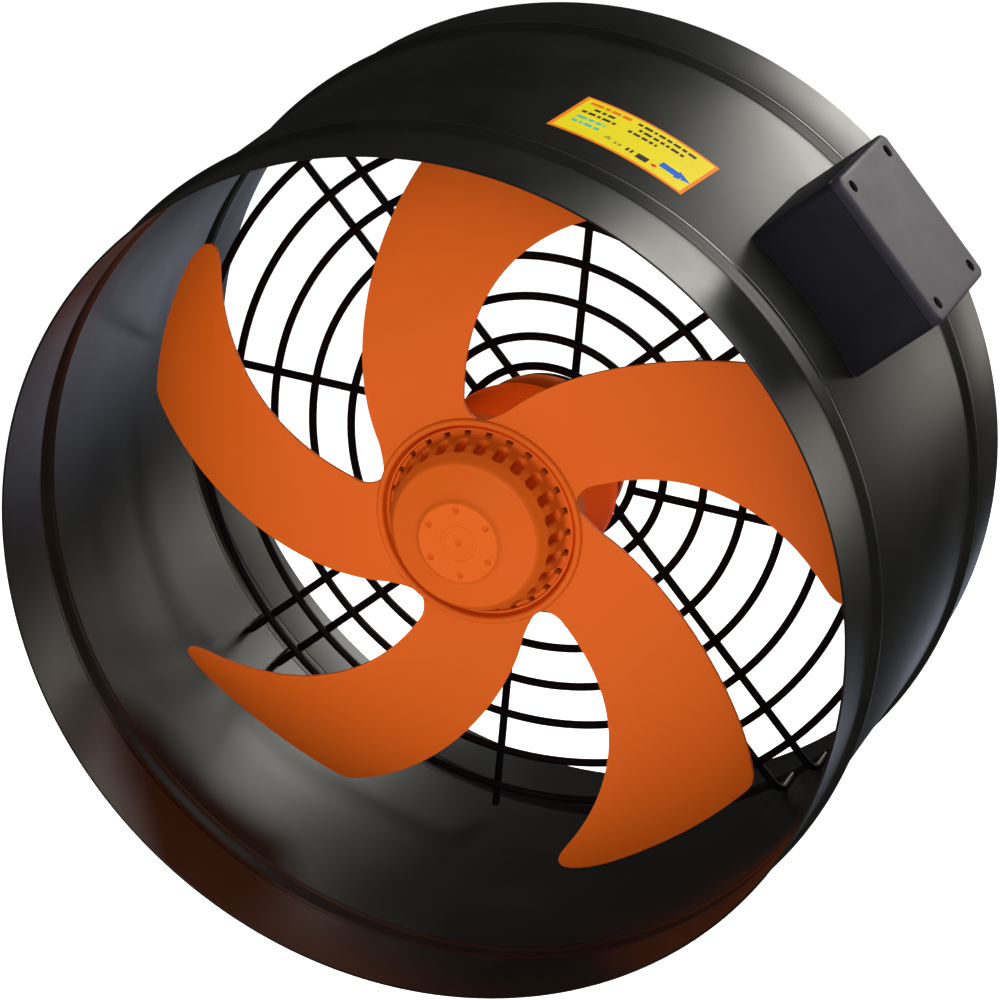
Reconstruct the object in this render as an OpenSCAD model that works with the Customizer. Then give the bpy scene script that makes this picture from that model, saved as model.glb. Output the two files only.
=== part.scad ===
// Axial duct fan with an external rotor motor, built as separate pieces.
// Frame: millimetres, fan axis along +Y, origin at the centre of the inlet rim, +Z up.
// Angles run from +X towards +Z, counter-clockwise as seen from the inlet.

/* [Duct] */
// Outer diameter of the duct shell
duct_d = 450; // [448:1:452]
// Length of the duct shell
duct_length = 275; // [270:1:285]
// Thickness of the rolled sheet
sheet_t = 1.2; // [1:0.1:1.5]
// Distance of each stiffening bead from its rim
bead_inset = 49.5; // [44:0.5:54]
// Width of a stiffening bead
bead_w = 15; // [12:1:18]
// Height of a stiffening bead above the sheet
bead_h = 3.2; // [2:0.1:4]
// Depth of the fine roll line behind each bead
roll_line_h = 0.4; // [0.2:0.1:0.6]

/* [Guard] */
// Diameter of the guard wire
wire_d = 4.4; // [3.6:0.1:5]
// Middle plane of the guard, from the inlet rim
guard_y = 194; // [190:1:198]
// Number of guard rings
ring_count = 8; // [8:1:8]
// Radius of the smallest guard ring
ring_inner_r = 50; // [48:0.5:52]
// Radius of the largest guard ring
ring_outer_r = 201; // [196:1:204]
// Direction of the first pair of support arms
arm_angle = 40; // [38:1:42]
// Distance from the radial line to each arm of a pair
arm_offset = 12; // [10:0.5:13]
// Length of the foot welded along the duct wall
arm_foot = 14; // [10:1:18]
// Direction of the first single spoke
spoke_angle = 85; // [80:1:88]
// Distance from the radial line to a single spoke
spoke_offset = 11; // [8:0.5:12]
// Reach of a single spoke
spoke_reach = 215; // [210:1:217]

/* [Motor] */
// Outer radius of the rotor can
can_r = 51; // [51:0.5:51.5]
// Plane of the rotor's nose
nose_y = 64; // [63:0.5:65]
// Radius of the raised nose disc
nose_r = 22; // [20:0.5:24]
// Number of vent scallops around the rotor shoulder
vent_count = 26; // [20:1:28]
// Radius of the round stator flange
flange_r = 45; // [42:0.5:46]
// Radius of the shaft
shaft_r = 6; // [6:0.5:6]
// Radial running gap between stator and rotor
air_gap = 0.4; // [0.3:0.05:0.6]
// Number of stator slots
slot_count = 24; // [12:12:24]

/* [Impeller] */
// Number of blades
blade_count = 5; // [5:1:5]
// Thickness of the pressed blade
blade_t = 2; // [1.6:0.1:2.4]
// Radius at the tip of a blade
blade_tip_r = 204.5; // [196:0.5:208]
// Leading edge angles at the root, one third, two thirds and the tip
lead_angles = [97.5, 91.5, 79, 60.5];
// Leading edge depths at the same four places
lead_depths = [94, 98, 99, 96.5];
// Trailing edge angles at the root, one third, two thirds and the tip
trail_angles = [150.5, 127, 111, 97];
// Trailing edge depths at the same four places
trail_depths = [95.5, 99, 111, 132];

/* [Terminal box] */
// Direction of the terminal box
box_angle = 39.3; // [36:0.1:42]
// Width of the terminal box around the duct
box_w = 87; // [80:1:92]
// Length of the terminal box along the duct
box_l = 79; // [72:1:84]
// Height of the lid's outer face above the fan axis
box_top = 277; // [272:1:282]
// Plane of the terminal box's front wall
box_y = 89; // [84:1:94]
// Wall thickness of the terminal box
box_wall = 2.5; // [2:0.1:3]

/* [Label] */
// Direction of the rating label
label_angle = 69.5; // [66:0.1:72]
// Length of the label around the duct
label_w = 77; // [70:1:80]
// Width of the label along the duct
label_l = 50; // [46:1:54]
// Middle plane of the label
label_y = 105.4; // [98:1:108]

/* [Hidden] */
$fa = 4;
$fs = 0.6;

// Colours of the finishes
duct_black = "#24241f";
wire_black = "#0e0d10";
fan_orange = "#d86226";
box_navy = "#1d1c26";
lid_grey = "#55545a";
zinc = "#a8aab0";
cast_grey = "#8d8f92";
lamination_grey = "#6c6f74";
copper = "#b06a3a";
film_white = "#d9d6c8";
brass_gold = "#c3a14e";
rubber_black = "#161616";
label_yellow = "#efd51f";

// Clearances and derived planes
duct_r = duct_d / 2;
duct_inner_r = duct_r - sheet_t;
wire_r = wire_d / 2;
ring_plane = guard_y - wire_r;
arm_plane = guard_y + wire_r;
arm_bend = 7;
foot_r = sqrt(pow(duct_inner_r - wire_r - 0.03, 2) - pow(arm_offset, 2));
flange_back = arm_plane - wire_r;
plate_t = 2.5;
plate_y = arm_plane + wire_r;
screw_pcd_r = 31;
fit_gap = 0.05;

// Axial stations of the motor
can_back = 163;
channel_y = 96;
rim_y = 94.5;
bore_y = 99.5;
bearing_w = 10;
bearing_r = 16;
race_r = 3.1;
ball_r = 2.9;
ball_pitch_r = 11;
ball_count = 7;
rear_bearing_y = 170;
tube_r = 20;
stator_r = 39.6;
stack_front = 112;
stack_back = 150;
vent_phase = 1;

// Turns a shape drawn around +Z so that it stands around the fan axis
module around_axis() rotate([-90, 0, 0]) children();
// Turns a shape drawn towards +X to the angle a around the fan axis
module at_angle(a) rotate([0, -a, 0]) children();
// A cylinder along the fan axis from plane y0 to plane y1
module disc(r, y0, y1) translate([0, y0, 0]) around_axis()
    cylinder(r = r, h = y1 - y0, $fn = r > 100 ? 360 : 0);
// A ring along the fan axis
module collar(r_out, r_in, y0, y1)
    difference() { disc(r_out, y0, y1); disc(r_in, y0 - 1, y1 + 1); }
// Revolves a profile of [radius, plane] points around the fan axis
module turned(profile) around_axis() rotate_extrude($fn = 180) polygon(profile);

// ---- Duct ------------------------------------------------------------------
// Height of the sheet above its straight wall at plane y
function bead_rise(y, centre) =
    abs(y - centre) < bead_w / 2 ? bead_h * (1 + cos(360 * (y - centre) / bead_w)) / 2 : 0;
function line_drop(y, centre) =
    abs(y - centre - bead_w / 2 - 1) < 0.8 ? roll_line_h : 0;
bead_planes = [bead_inset, duct_length - bead_inset];
bead_steps = 14;
function bead_stations(c) = [for (i = [0:bead_steps]) c - bead_w / 2 + bead_w * i / bead_steps];
// The outlet spigot stays plain, so that a sleeve seats on all of it
line_stations = [for (d = [0.2, 0.6, 1.4, 1.8]) bead_planes[0] + bead_w / 2 + d];
wall_stations = concat([0], bead_stations(bead_planes[0]), line_stations,
                       bead_stations(bead_planes[1]), [duct_length]);
function wall_r(y) = duct_r + bead_rise(y, bead_planes[0]) + bead_rise(y, bead_planes[1])
    - line_drop(y, bead_planes[0]);
box_screw_y = [box_y + 16, box_y + box_l - 16];
box_screw_z = 12;
grommet_y = 150;
lead_r = 2.4;
lead_z = -arm_offset;
// Where the lead runs forward along the wall, beside the arm
lead_wall_z = -6.5;

module duct_shell() color(duct_black) difference() {
    turned(concat([for (y = wall_stations) [wall_r(y), y]],
                  [for (i = [len(wall_stations) - 1:-1:0])
                      [wall_r(wall_stations[i]) - sheet_t, wall_stations[i]]]));
    at_angle(box_angle) {
        for (y = box_screw_y) translate([duct_r - 20, y, box_screw_z]) rotate([0, 90, 0])
            cylinder(r = 2.2, h = 30, $fn = 32);
    }
    at_angle(arm_angle) translate([duct_r - 20, grommet_y, lead_wall_z]) rotate([0, 90, 0])
        cylinder(r = 6, h = 30, $fn = 40);
}

// ---- Guard -----------------------------------------------------------------
module wire_ring(r) translate([0, ring_plane, 0]) around_axis()
    rotate_extrude($fn = 144) translate([r, 0]) circle(r = wire_r, $fn = 24);

module guard_rings() color(wire_black) for (i = [0:ring_count - 1])
    wire_ring(i == 0 ? ring_inner_r : ring_outer_r - (ring_count - 1 - i) * 22.4);

// One arm: straight wire, bent back into a foot that lies along the duct wall
module arm(z) translate([0, arm_plane, z]) {
    translate([16, 0, 0]) rotate([0, 90, 0])
        cylinder(r = wire_r, h = foot_r - arm_bend - 16, $fn = 24);
    translate([foot_r - arm_bend, arm_bend, 0]) rotate([0, 0, -90])
        rotate_extrude(angle = 90, $fn = 60) translate([arm_bend, 0])
            circle(r = wire_r, $fn = 24);
    translate([foot_r, arm_bend, 0]) around_axis() cylinder(r = wire_r, h = arm_foot, $fn = 24);
}
module arm_pair(i) color(wire_black) at_angle(arm_angle + 90 * i) {
    arm(arm_offset);
    arm(-arm_offset);
}
module guard_arms_upper_right() arm_pair(0);
module guard_arms_upper_left() arm_pair(1);
module guard_arms_lower_left() arm_pair(2);
module guard_arms_lower_right() arm_pair(3);

module guard_spokes() color(wire_black) for (i = [0:3]) at_angle(spoke_angle + 90 * i)
    translate([ring_inner_r - 4, arm_plane, -spoke_offset]) rotate([0, 90, 0])
        cylinder(r = wire_r, h = spoke_reach - ring_inner_r + 4, $fn = 24);

module motor_mount_plate() color(wire_black) difference() {
    disc(flange_r - 2, plate_y, plate_y + plate_t);
    disc(9, plate_y - 1, plate_y + plate_t + 1);
    for (i = [0:3]) at_angle(arm_angle + 90 * i) translate([screw_pcd_r, 0, 0])
        disc(3.2, plate_y - 1, plate_y + plate_t + 1);
    at_angle(arm_angle) translate(lead_exit) disc(4, plate_y - 1, plate_y + plate_t + 1);
}

// Hexagon screws with captive washers, through the plate into the stator flange
module motor_screws() color(zinc) for (i = [0:3]) at_angle(arm_angle + 90 * i)
    translate([screw_pcd_r, 0, 0]) {
        disc(3, flange_back - 7, plate_y + plate_t);
        disc(6, plate_y + plate_t, plate_y + plate_t + 1.2);
        translate([0, plate_y + plate_t + 1.2, 0]) around_axis()
            cylinder(r = 10 / sqrt(3), h = 4, $fn = 6);
    }

// ---- Stator ----------------------------------------------------------------
lead_exit = [22, 0, -18];
flange_face = 185;
module stator_flange() color(fan_orange) difference() {
    turned([[tube_r, 166], [33, 166], [39, 172], [41, 178], [flange_r - 1, flange_face],
            [flange_r, flange_face + 1], [flange_r, flange_back - 1], [flange_r - 1, flange_back],
            [0, flange_back], [0, flange_face + 2], [tube_r, flange_face + 2]]);
    for (i = [0:3]) at_angle(arm_angle + 90 * i) translate([screw_pcd_r, 0, 0])
        disc(3 + fit_gap, flange_back - 8, flange_back + 1);
    at_angle(arm_angle) translate(lead_exit) disc(4, 160, flange_back + 1);
}

module bearing_tube() color(cast_grey) difference() {
    disc(tube_r, bore_y, flange_face + 2);
    disc(bearing_r, bore_y - 1, bore_y + bearing_w);
    disc(13.5, bore_y, 190);
    disc(bearing_r, rear_bearing_y - 2, 190);
}

// Laminated stack with semi-closed slots that open towards the air gap
module stator_core() color(lamination_grey) translate([0, stack_front, 0]) around_axis()
    linear_extrude(stack_back - stack_front) difference() {
        circle(r = stator_r, $fn = 144);
        circle(r = tube_r, $fn = 72);
        for (i = [0:slot_count - 1]) rotate(360 * i / slot_count) {
            translate([26, -1.7]) square([9, 3.4]);
            translate([34, -0.9]) square([8, 1.8]);
        }
    }

// Copper end turns with rounded edges
module end_turns(y0, y1) {
    h = y1 - y0;
    translate([0, y0, 0]) around_axis() rotate_extrude($fn = 120) polygon(
        concat([[25, 0], [36.5, 0]],
               [for (a = [0:15:90]) [32.5 + 4 * cos(a), h - 4 + 4 * sin(a)]],
               [for (a = [90:15:180]) [29 + 4 * cos(a), h - 4 + 4 * sin(a)]]));
}
module winding_front() color(copper) translate([0, stack_front * 2, 0]) mirror([0, 1, 0])
    end_turns(stack_front + 1, stack_front + 11);
module winding_rear() color(copper) end_turns(stack_back + 1, stack_back + 11);

// Insulating end discs between the stack and the end turns
module slot_insulation() color(film_white) for (y = [stack_front - 1, stack_back])
    collar(38, tube_r + 0.5, y, y + 1);

// ---- Bearings, 12 x 32 x 10 ------------------------------------------------
module race_groove(y) translate([0, y + bearing_w / 2, 0]) around_axis()
    rotate_extrude($fn = 96) translate([ball_pitch_r, 0]) circle(r = race_r, $fn = 32);
module outer_ring(y) color(cast_grey) difference() {
    collar(bearing_r, 13.2, y, y + bearing_w);
    race_groove(y);
}
module inner_ring(y) color(cast_grey) difference() {
    collar(8.8, shaft_r, y, y + bearing_w);
    race_groove(y);
}
module ball_set(y) color(zinc) translate([0, y + bearing_w / 2, 0]) {
    for (i = [0:ball_count - 1]) at_angle(360 * i / ball_count)
        translate([ball_pitch_r, 0, 0]) sphere(r = ball_r, $fn = 32);
    difference() {
        collar(ball_pitch_r + 1, ball_pitch_r - 1, -2, 2);
        for (i = [0:ball_count - 1]) at_angle(360 * i / ball_count)
            translate([ball_pitch_r, 0, 0]) sphere(r = ball_r + 0.15, $fn = 32);
    }
}
module front_bearing_outer_ring() outer_ring(bore_y);
module front_bearing_inner_ring() inner_ring(bore_y);
module front_bearing_balls() ball_set(bore_y);
module rear_bearing_outer_ring() outer_ring(rear_bearing_y);
module rear_bearing_inner_ring() inner_ring(rear_bearing_y);
module rear_bearing_balls() ball_set(rear_bearing_y);

// Spring washer that pushes the rear outer ring backwards
module bearing_preload_washer() color(zinc)
    collar(15.6, 13.8, rear_bearing_y - 2, rear_bearing_y);

module shaft_circlip() color(zinc) difference() {
    collar(8, 5.6, rear_bearing_y + bearing_w, rear_bearing_y + bearing_w + 1);
    translate([4, rear_bearing_y + bearing_w - 1, -1.5]) cube([8, 3, 3]);
}

// ---- Rotor -----------------------------------------------------------------
module motor_shaft() color(cast_grey) difference() {
    turned([[0, 70], [shaft_r - 0.8, 70], [shaft_r, 70.8], [shaft_r, 183.2], [shaft_r - 0.8, 184],
            [0, 184]]);
    collar(shaft_r + 1, 5.6, rear_bearing_y + bearing_w, rear_bearing_y + bearing_w + 1);
}

// Outline of the vented shoulder between the rotor's face and its can
shoulder = [[38.5, 73.6], [40, 75], [43.2, 80], [45.4, 85], [46.4, 90], [46.6, channel_y]];
module rotor_can() color(fan_orange) difference() {
    turned(concat([[0, nose_y], [nose_r - 0.6, nose_y], [nose_r, nose_y + 0.6],
                   [nose_r + 0.4, nose_y + 1.8]], shoulder,
                  [[49.6, channel_y], [49.8, rim_y], [can_r - 0.4, rim_y], [can_r, rim_y + 0.4],
                   [can_r, can_back - 0.5], [can_r - 0.5, can_back], [47.5, can_back],
                   [47.5, 105], [43, 101], [42, 92], [38, 80], [16, 73], [13, 76], [12, 95],
                   [8.6, 96], [8.6, bore_y], [shaft_r, bore_y], [shaft_r, 70], [0, 70]]));
    for (i = [0:vent_count - 1]) at_angle(vent_phase + 360 * i / vent_count) {
        translate([46.3, 85.3, 0]) rotate([0, 0, 20]) {
            translate([0, -2.4, 0]) sphere(r = 2.6, $fn = 32);
            translate([0, -2.4, 0]) around_axis() cylinder(r = 2.6, h = 4.8, $fn = 32);
            translate([0, 2.4, 0]) sphere(r = 2.6, $fn = 32);
        }
        translate([48.1, channel_y - 1, 0]) around_axis() cylinder(r = 1.35, h = 5, $fn = 24);
    }
    for (i = [0:5]) at_angle(33.5 + 60 * i) translate([18, nose_y - 1.2, 0])
        sphere(r = 2.3, $fn = 32);
    translate([0, nose_y - 1, 0]) sphere(r = 2.2, $fn = 32);
    for (r = [7.6, 9.6]) translate([0, nose_y, 0]) around_axis()
        rotate_extrude($fn = 96) translate([r, 0]) circle(r = 0.35, $fn = 16);
}

module rotor_laminations() color(lamination_grey)
    collar(47.5, stator_r + air_gap, stack_front - 1, stack_back + 1);
module rotor_end_rings() color(cast_grey) {
    collar(47.5, 41, stack_front - 5, stack_front - 1);
    collar(47.5, 41, stack_back + 1, stack_back + 5);
}

// ---- Impeller --------------------------------------------------------------
web_r = 56.2;
web_y = 94;
web_t = 2.2;
module impeller_ring() color(fan_orange) union() {
    turned([[can_r, 98], [52.4, 96.5], [52.4, web_y], [web_r, web_y], [web_r, web_y + web_t],
            [54, web_y + web_t], [53, web_y + web_t + 1], [53, 110], [can_r, 110]]);
    translate([0, web_y, 0]) around_axis() rotate_extrude($fn = 144)
        translate([54.4, 0]) circle(r = 1.9, $fn = 32);
}

// Cubic through four values at the root, one third, two thirds and the tip
function through4(v, s) = let (a = 3 * s)
    -v[0] * (a - 1) * (a - 2) * (a - 3) / 6 + v[1] * a * (a - 2) * (a - 3) / 2
    - v[2] * a * (a - 1) * (a - 3) / 2 + v[3] * a * (a - 1) * (a - 2) / 6;
root_r = 60;
span_r = 145;
notch_r = 67;
function span(r) = (r - root_r) / span_r;
// Below notch_r the edges flare into the round notch between two blades
function flare(r) = r < notch_r ? sqrt(1 - pow((notch_r - r) / (notch_r - web_r - 0.1), 2)) : 1;
function lead_a(r) = through4(lead_angles, span(r));
function trail_a(r) = through4(trail_angles, span(r));
function gap_mid(r) = (lead_a(r) + trail_a(r) - 360 / blade_count) / 2;
function half_gap(r) = (lead_a(r) - trail_a(r) + 360 / blade_count) / 2 * flare(r);
function edge_lead(r) = gap_mid(r) + half_gap(r);
function edge_trail(r) = gap_mid(r) + 360 / blade_count - half_gap(r);
function settle(r) = r < notch_r ? (r - web_r) / (notch_r - web_r) : 1;
function depth(r, t) = let (lead = through4(lead_depths, span(r)),
                            trail = through4(trail_depths, span(r)),
                            camber = 5 * sin(180 * t) * span(r))
    (lead + (trail - lead) * t + camber) * settle(r)
    + (web_y + web_t / 2) * (1 - settle(r));
// Tip outline: a wide round corner at the leading edge, a tight one at the trailing edge
function tip_r(t) = blade_tip_r - 6 * t
    - (t < 0.35 ? 20 * (1 - sqrt(1 - pow(1 - t / 0.35, 2))) : 0)
    - (t > 0.96 ? 4 * (1 - sqrt(1 - pow(min((t - 0.96) / 0.04, 1), 2))) : 0);
chord_steps = [0, 0.004, 0.015, 0.035, 0.07, 0.12, 0.18, 0.26, 0.35, 0.45, 0.55, 0.65, 0.76, 0.87,
               0.96, 0.98, 0.992, 1];
span_steps = [0, 0.012, 0.03, 0.055, 0.09, 0.16, 0.26, 0.37, 0.49, 0.61, 0.73, 0.84, 0.93, 1];

function blade_point(s, t, side) =
    let (r = web_r + 0.1 + s * (tip_r(t) - web_r - 0.1),
         a = edge_lead(r) + t * (edge_trail(r) - edge_lead(r)))
    [r * cos(a), depth(r, t) + side * blade_t / 2, r * sin(a)];

// One pressed blade as a closed sheet between its front and back faces
module blade(i) {
    m = len(span_steps);
    n = len(chord_steps);
    front = [for (s = span_steps) for (t = chord_steps) blade_point(s, t, -1)];
    back = [for (s = span_steps) for (t = chord_steps) blade_point(s, t, 1)];
    half = m * n;
    rim = concat([for (j = [0:n - 2]) j], [for (k = [0:m - 2]) k * n + n - 1],
                 [for (j = [n - 1:-1:1]) (m - 1) * n + j], [for (k = [m - 1:-1:1]) k * n]);
    faces = concat(
        [for (k = [0:m - 2]) for (j = [0:n - 2])
            [k * n + j, k * n + j + 1, (k + 1) * n + j + 1, (k + 1) * n + j]],
        [for (k = [0:m - 2]) for (j = [0:n - 2])
            [half + (k + 1) * n + j, half + (k + 1) * n + j + 1, half + k * n + j + 1,
             half + k * n + j]],
        [for (q = [0:len(rim) - 1])
            [rim[(q + 1) % len(rim)], rim[q], half + rim[q], half + rim[(q + 1) % len(rim)]]]);
    color(fan_orange) at_angle(360 * i / blade_count)
        polyhedron(points = concat(front, back), faces = faces, convexity = 6);
}
module blade_1() blade(0);
module blade_2() blade(1);
module blade_3() blade(2);
module blade_4() blade(3);
module blade_5() blade(4);

// ---- Terminal box ----------------------------------------------------------
pad_t = 1.5;
lid_t = 5;
gasket_t = 1;
body_top = box_top - lid_t - gasket_t;
corner_r = 5;
screw_inset_w = 8.5;
screw_inset_l = 10.5;
floor_x = duct_r + 6;
box_mid_y = box_y + box_l / 2;
gland_x = 252;
gland_z = 18;

// Places a shape in the box's frame: +X outwards, +Y along the duct, +Z around it
module in_box() at_angle(box_angle) translate([0, box_mid_y, 0]) children();
// Places a shape in the arm's frame from within the box's frame
module lead_place() rotate([0, box_angle - arm_angle, 0])
    translate([0, grommet_y - box_mid_y, lead_wall_z]) children();
// Rounded block across the box, from height x0 to x1, shrunk by inset
module box_block(x0, x1, inset) translate([x0, 0, 0]) rotate([0, 90, 0])
    linear_extrude(x1 - x0) {
        r = max(corner_r - inset, 0.5);
        w = box_w / 2 - inset;
        l = box_l / 2 - inset;
        square([2 * (w - r), 2 * l], center = true);
        square([2 * w, 2 * (l - r)], center = true);
        for (a = [-1, 1], b = [-1, 1]) translate([a * (w - r), b * (l - r)])
            circle(r = r, $fn = 32);
    }
module lid_screw_places() for (a = [-1, 1], b = [-1, 1])
    translate([0, a * (box_l / 2 - screw_inset_l), b * (box_w / 2 - screw_inset_w)]) children();
module upright(r, x0, x1) translate([x0, 0, 0]) rotate([0, 90, 0])
    cylinder(r = r, h = x1 - x0, $fn = 32);

module terminal_box() color(box_navy) in_box() difference() {
    union() {
        difference() {
            box_block(duct_r - 12, body_top, 0);
            box_block(floor_x, body_top + 1, box_wall);
        }
        intersection() {
            box_block(duct_r - 12, body_top, 0.4);
            lid_screw_places() upright(5, duct_r - 12, body_top);
        }
    }
    disc(duct_r + pad_t, -box_l, box_l);
    lid_screw_places() upright(2, body_top - 14, body_top + 1);
    for (y = box_screw_y) translate([0, y - box_mid_y, box_screw_z])
        upright(2.2, duct_r - 5, floor_x + 5);
    lead_place() upright(6, duct_r - 5, floor_x + 5);
    translate([gland_x, 0, gland_z]) disc(8, box_l / 2 - 6, box_l / 2 + 5);
    translate([0, -18, 26]) upright(1.9, floor_x - 3, floor_x + 5);
}

// Foam pad between the duct and the box
module terminal_box_pad() color(rubber_black) in_box() difference() {
    intersection() {
        box_block(duct_r - 20, duct_r + 20, 1);
        collar(duct_r + pad_t, duct_r, -box_l, box_l);
    }
    for (y = box_screw_y) translate([0, y - box_mid_y, box_screw_z])
        upright(2.4, duct_r - 5, duct_r + 9);
    lead_place() upright(6, duct_r - 5, duct_r + 9);
}

module lid_gasket() color(rubber_black) in_box() difference() {
    box_block(body_top, body_top + gasket_t, 0.5);
    box_block(body_top - 1, body_top + gasket_t + 1, box_wall - 0.1);
}

// Moulded lid: a plate with chamfered top edges and countersunk screw wells
module terminal_box_lid() color(lid_grey) in_box() difference() {
    union() {
        box_block(body_top + gasket_t, box_top - 1.6, 0);
        box_block(box_top - 1.6, box_top - 0.8, 0.5);
        box_block(box_top - 0.8, box_top, 1.4);
    }
    box_block(body_top, box_top - 2.5, box_wall + 8);
    lid_screw_places() {
        upright(2.2, body_top, box_top + 1);
        upright(3.4, box_top - 3.2, box_top + 1);
    }
}

module lid_screws() color(zinc) in_box() lid_screw_places() difference() {
    union() {
        upright(1.95, body_top - 12, box_top - 3);
        upright(3.2, box_top - 3.2, box_top - 1.4);
    }
    translate([box_top - 2.2, -0.4, -2.4]) cube([2, 0.8, 4.8]);
    translate([box_top - 2.2, -2.4, -0.4]) cube([2, 4.8, 0.8]);
}

// Pan head screws from inside the duct, and the nuts on the box floor
module box_screws() color(zinc) at_angle(box_angle) for (y = box_screw_y)
    translate([0, y, box_screw_z]) {
        upright(2, duct_inner_r - 1.6, floor_x + 6);
        upright(4, duct_inner_r - 3.8, duct_inner_r - 1.6);
    }
module box_nuts() color(zinc) at_angle(box_angle) for (y = box_screw_y)
    translate([floor_x, y, box_screw_z]) rotate([0, 90, 0]) difference() {
        cylinder(r = 7 / sqrt(3), h = 3.2, $fn = 6);
        translate([0, 0, -1]) cylinder(r = 2 + fit_gap, h = 6, $fn = 32);
    }

// Four way terminal strip with wire entries and screws
strip_w = 40;
module strip_frame() in_box() translate([floor_x, -2, -14]) children();
module terminal_strip() color(film_white) strip_frame() difference() {
    union() {
        translate([0, -9, -strip_w / 2]) cube([8, 18, strip_w]);
        translate([8, -5.5, -strip_w / 2]) cube([7, 11, strip_w]);
    }
    for (i = [0:3]) translate([0, 0, (i - 1.5) * 10]) {
        translate([9, -7, -2]) cube([3.4, 14, 4]);
        upright(1.8, 8, 16);
    }
}
module terminal_screws() color(brass_gold) strip_frame() for (i = [0:3])
    translate([0, 0, (i - 1.5) * 10]) difference() {
        upright(1.7, 9.2, 15.6);
        translate([14.9, -2, -0.3]) cube([1, 4, 0.6]);
    }

// Motor run capacitor: a plain can across the rear of the box, held by a clip
cap_r = 10;
cap_x = floor_x + 8 + cap_r;
module run_capacitor() color(film_white) in_box() translate([cap_x, -24, 0]) {
    translate([0, 0, -30]) cylinder(r = cap_r, h = 50, $fn = 60);
    translate([0, 0, 20]) cylinder(r = cap_r - 2, h = 2, $fn = 48);
    for (y = [-3, 3]) translate([-0.4, y - 2, 22]) cube([0.8, 4, 6]);
}
module capacitor_clip() color(zinc) in_box() translate([cap_x, -24, -22]) {
    difference() {
        cylinder(r = cap_r + 1, h = 8, $fn = 60);
        translate([0, 0, -1]) cylinder(r = cap_r, h = 10, $fn = 60);
        translate([cap_r - 3, -cap_r, -1]) cube([6, 2 * cap_r, 10]);
    }
    translate([floor_x - cap_x, -1, 0]) cube([cap_x - floor_x - cap_r - 0.5, 2, 8]);
    translate([floor_x - cap_x, -6, 0]) cube([1, 5, 8]);
}

// Earth screw on the box floor
module earth_screw() color(brass_gold) in_box() translate([0, -18, 26]) {
    upright(1.9, floor_x - 3, floor_x);
    difference() {
        upright(4, floor_x, floor_x + 2.5);
        translate([floor_x + 1.5, -5, -0.5]) cube([2, 10, 1]);
    }
}

// Cable gland on the rear wall: threaded body, dome nut and rubber seal
gland_bore = 5;
module gland_frame() in_box() translate([gland_x, box_l / 2, gland_z]) children();
module cable_gland() color(rubber_black) gland_frame() difference() {
    union() {
        disc(7.9, -6.5, 0);
        around_axis() cylinder(r = 12, h = 5, $fn = 6);
        disc(8.6, 5, 11);
    }
    disc(6.6, -8, 20);
}
module gland_nut() color(rubber_black) gland_frame() difference() {
    union() {
        translate([0, 5.2, 0]) around_axis() cylinder(r = 12, h = 9, $fn = 6);
        translate([0, 14.2, 0]) around_axis() cylinder(r1 = 9.8, r2 = 7.6, h = 6, $fn = 60);
    }
    disc(8.7, 4, 17);
    disc(gland_bore + 0.6, 10, 30);
}
module gland_seal() color(rubber_black) gland_frame() difference() {
    disc(6.5, -1, 14);
    disc(gland_bore, -2, 20);
}

// ---- Motor lead ------------------------------------------------------------
// Out of the flange, behind the upper right arm, forward along the wall, into the box
lead_run_y = arm_plane + wire_r + lead_r + 0.4;
lead_bend = 10;
lead_wall_r = 210;
lead_start = flange_back - 6;
quarter = [0:15:90];
// Point at share t of a curve from p to q that leaves along a and arrives along b
function swept(p, a, b, q, t) = pow(1 - t, 3) * p + 3 * t * pow(1 - t, 2) * (p + a)
    + 3 * t * t * (1 - t) * (q - b) + pow(t, 3) * q;
lead_route = concat(
    [[lead_exit[0], lead_start, lead_exit[2]]],
    [for (a = quarter) [lead_exit[0] + lead_bend * (1 - cos(a)), 202 + lead_bend * sin(a),
                        lead_exit[2]]],
    [for (t = [0.2:0.2:1]) swept([lead_exit[0] + lead_bend, 202 + lead_bend, lead_exit[2]],
                                 [17, 0, 0], [17, 0, 0], [74, lead_run_y, lead_z], t)],
    [for (t = [0:0.2:1]) swept([172, lead_run_y, lead_z], [9, 0, 0], [9, 0, 0],
                               [198, lead_run_y, lead_wall_z], t)],
    [for (a = quarter) [lead_wall_r - lead_bend * (1 - sin(a)),
                        lead_run_y - lead_bend * (1 - cos(a)), lead_wall_z]],
    [for (a = quarter) [lead_wall_r + lead_bend * (1 - cos(a)),
                        grommet_y + lead_bend * (1 - sin(a)), lead_wall_z]],
    [[lead_wall_r + lead_bend + 23, grommet_y, lead_wall_z]]);

function unit(v) = v / norm(v);
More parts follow.
